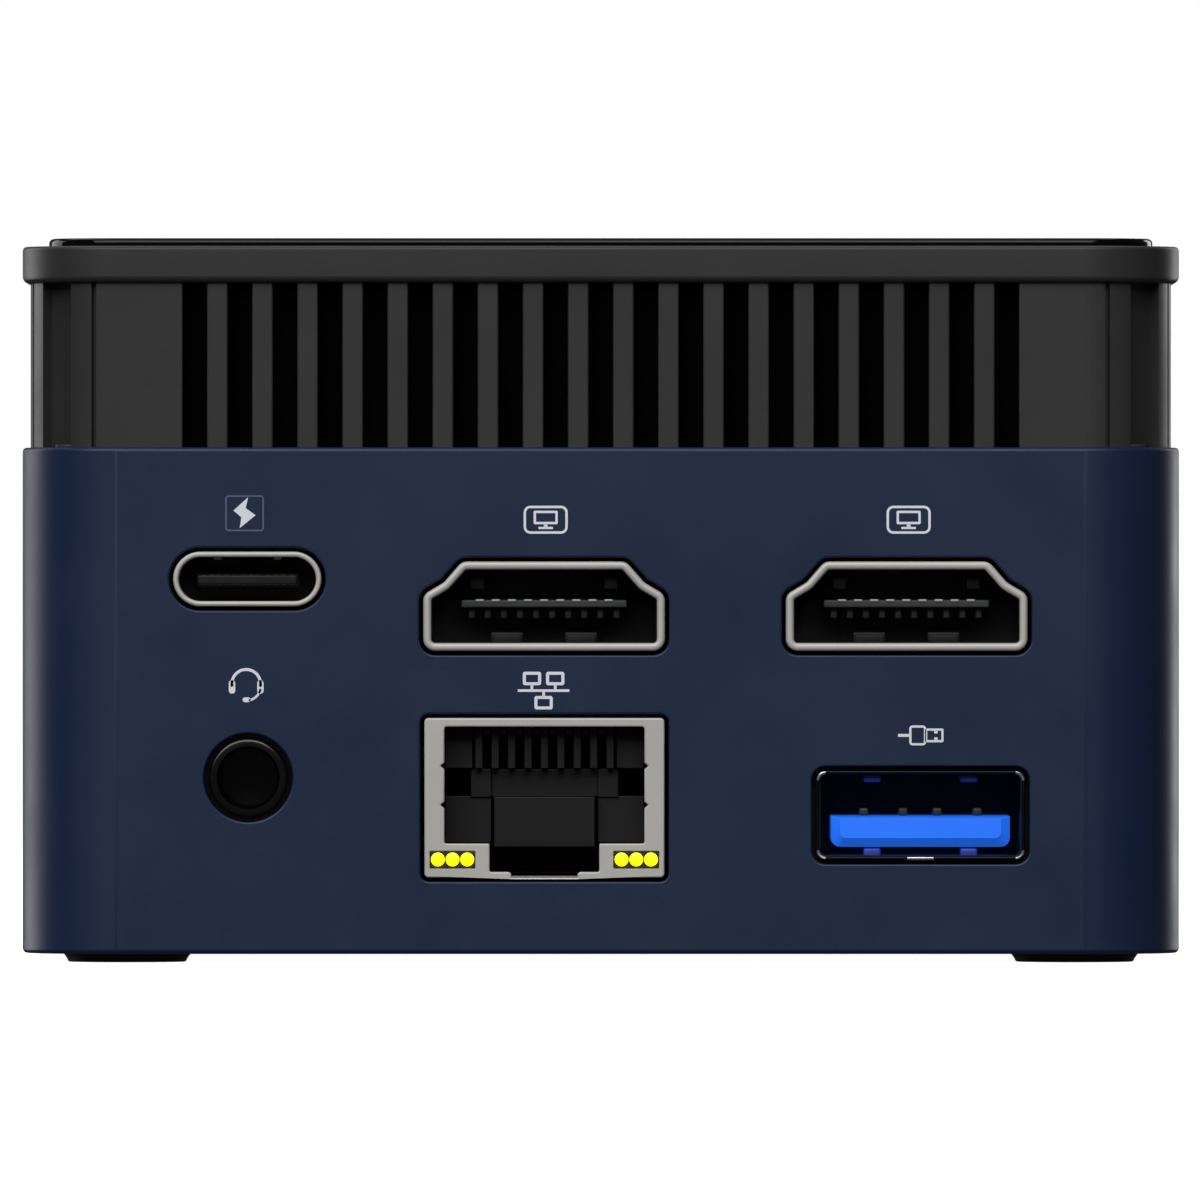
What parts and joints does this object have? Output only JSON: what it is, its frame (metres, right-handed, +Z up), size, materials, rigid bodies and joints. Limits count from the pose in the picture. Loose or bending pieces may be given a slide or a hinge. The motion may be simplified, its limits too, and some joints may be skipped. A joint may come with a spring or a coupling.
{
  "type": "mini pc",
  "caption": "Palm-sized desktop computer: square case with round corners, slotted vent ring, gloss lid, sockets on one wall and a power button on the opposite one.",
  "frame": {"origin": "on the table under the middle of the case", "axes": "+Z up; the wall with the screen and network sockets faces -Y, the power button faces +Y"},
  "size_m": [0.072, 0.072, 0.045],
  "materials": {
    "case_shell": "moulded navy blue plastic, satin",
    "cover_plate": "moulded black plastic, fine texture",
    "ring_plastic": "moulded dark grey plastic, satin",
    "gloss_panel": "polished black acrylic",
    "foot_rubber": "black silicone rubber",
    "screw_steel": "zinc-plated steel",
    "socket_metal": "nickel-plated stamped steel",
    "socket_plastic": "black glass-filled nylon",
    "usb_blue": "blue moulded nylon",
    "contact_gold": "gold-plated copper alloy",
    "lamp_lens": "clear lens over yellow lamps",
    "board_mask": "green solder mask on glass-epoxy",
    "chip_black": "black epoxy chip package",
    "choke_ferrite": "grey moulded ferrite",
    "pad_silicone": "grey thermal silicone",
    "sink_aluminium": "extruded aluminium",
    "fan_plastic": "black glass-filled polyester",
    "winding_copper": "enamelled copper wire",
    "spacer_brass": "turned brass",
    "lead_jacket": "black PVC insulation",
    "button_plastic": "moulded dark grey plastic",
    "plunger_plastic": "white acetal",
    "lamp_pipe": "clear polycarbonate",
    "battery_steel": "stainless steel can",
    "antenna_film": "black printed film"
  },
  "bodies": {
    "base": {"lower_case": "case_shell", "bottom_cover": "cover_plate", "vent_ring": "ring_plastic", "top_cap": "ring_plastic", "top_panel": "gloss_panel", "foot_rear_left": "foot_rubber", "foot_rear_right": "foot_rubber", "foot_front_left": "foot_rubber", "foot_front_right": "foot_rubber", "cover_screws": "screw_steel", "ring_screws": "screw_steel", "main_board": "board_mask", "io_board": "board_mask", "board_spacers": "spacer_brass", "board_screws": "screw_steel", "board_link": "socket_plastic", "processor": "chip_black", "memory_chips": "chip_black", "power_chokes": "choke_ferrite", "thermal_pad": "pad_silicone", "heatsink": "sink_aluminium", "heatsink_screws": "screw_steel", "fan_frame": "fan_plastic", "fan_stator": "winding_copper", "fan_bearing": "spacer_brass", "fan_screws": "screw_steel", "fan_lead": "lead_jacket", "ssd_card": "board_mask", "ssd_socket": "socket_plastic", "card_screws": "screw_steel", "wifi_card": "board_mask", "wifi_socket": "socket_plastic", "antenna_strips": "antenna_film", "antenna_leads": "lead_jacket", "clock_battery": "battery_steel", "usb_c_shell": "socket_metal", "usb_c_core": "socket_plastic", "hdmi_left_shell": "socket_metal", "hdmi_left_core": "socket_plastic", "hdmi_left_contacts": "contact_gold", "hdmi_right_shell": "socket_metal", "hdmi_right_core": "socket_plastic", "hdmi_right_contacts": "contact_gold", "jack_body": "socket_plastic", "jack_springs": "contact_gold", "lan_shield": "socket_metal", "lan_core": "socket_plastic", "lan_contacts": "contact_gold", "lan_lamps": "lamp_lens", "usb_rear_shell": "socket_metal", "usb_rear_core": "usb_blue", "usb_front_shells": "socket_metal", "usb_front_cores": "usb_blue", "usb_contacts": "contact_gold", "button_switch": "socket_plastic", "power_lamp": "lamp_pipe"},
    "fan": {"fan_rotor": "fan_plastic", "fan_shaft": "screw_steel"},
    "button": {"power_button": "button_plastic"},
    "plunger": {"switch_plunger": "plunger_plastic"}
  },
  "joints": [
    {"name": "fan_spin", "type": "hinge", "parent": "base", "child": "fan", "pos_m": [0, 0, 0.0385], "axis": [0, 0, 1], "continuous": true},
    {"name": "button_press", "type": "slide", "parent": "base", "child": "button", "axis": [0, -1, 0], "range_m": [0, 0.0003], "stiffness_N_per_m": 200},
    {"name": "plunger_press", "type": "slide", "parent": "base", "child": "plunger", "axis": [0, -1, 0], "range_m": [0, 0.0003]}
  ],
  "couplings": [
    {"joint": "plunger_press", "follows": "button_press", "ratio": 1}
  ]
}
